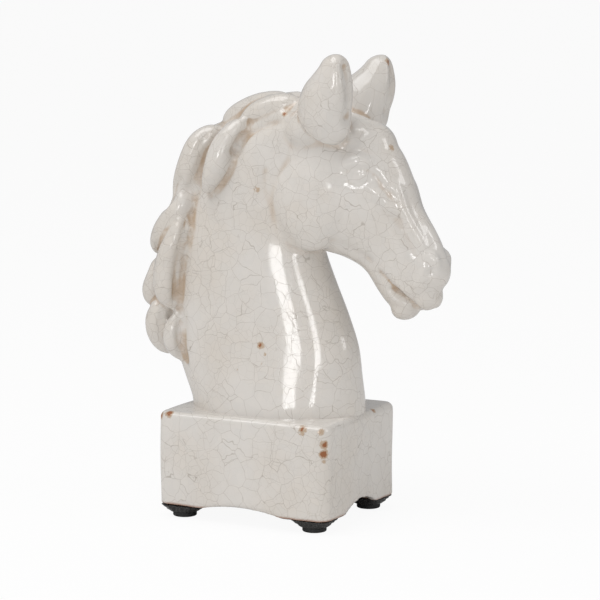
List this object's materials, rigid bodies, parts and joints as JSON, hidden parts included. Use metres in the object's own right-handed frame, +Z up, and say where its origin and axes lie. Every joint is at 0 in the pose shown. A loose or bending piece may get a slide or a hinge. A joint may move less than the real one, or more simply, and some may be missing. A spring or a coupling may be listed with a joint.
{
  "type": "knight chess piece ornament",
  "caption": "Glazed ceramic horse-head chess knight with a full mane, on a rectangular plinth with black feet.",
  "frame": {"origin": "middle of the object's box at ground level, under the pads", "axes": "+Z up, +X the way the horse looks, +Y the horse's left"},
  "size_m": [0.2131, 0.1006, 0.3],
  "materials": {
    "glazed_ceramic": "glossy warm white glaze with fine brown crackle",
    "black_mastic": "glossy, uneven",
    "black_rubber": "matte"
  },
  "bodies": {
    "root": {"bust_shell": "glazed_ceramic", "left_ear": "glazed_ceramic", "right_ear": "glazed_ceramic", "plinth_shell": "glazed_ceramic", "front_left_foot_bed": "black_mastic", "front_left_pad": "black_rubber", "front_right_foot_bed": "black_mastic", "front_right_pad": "black_rubber", "rear_left_foot_bed": "black_mastic", "rear_left_pad": "black_rubber", "rear_right_foot_bed": "black_mastic", "rear_right_pad": "black_rubber"}
  },
  "joints": []
}
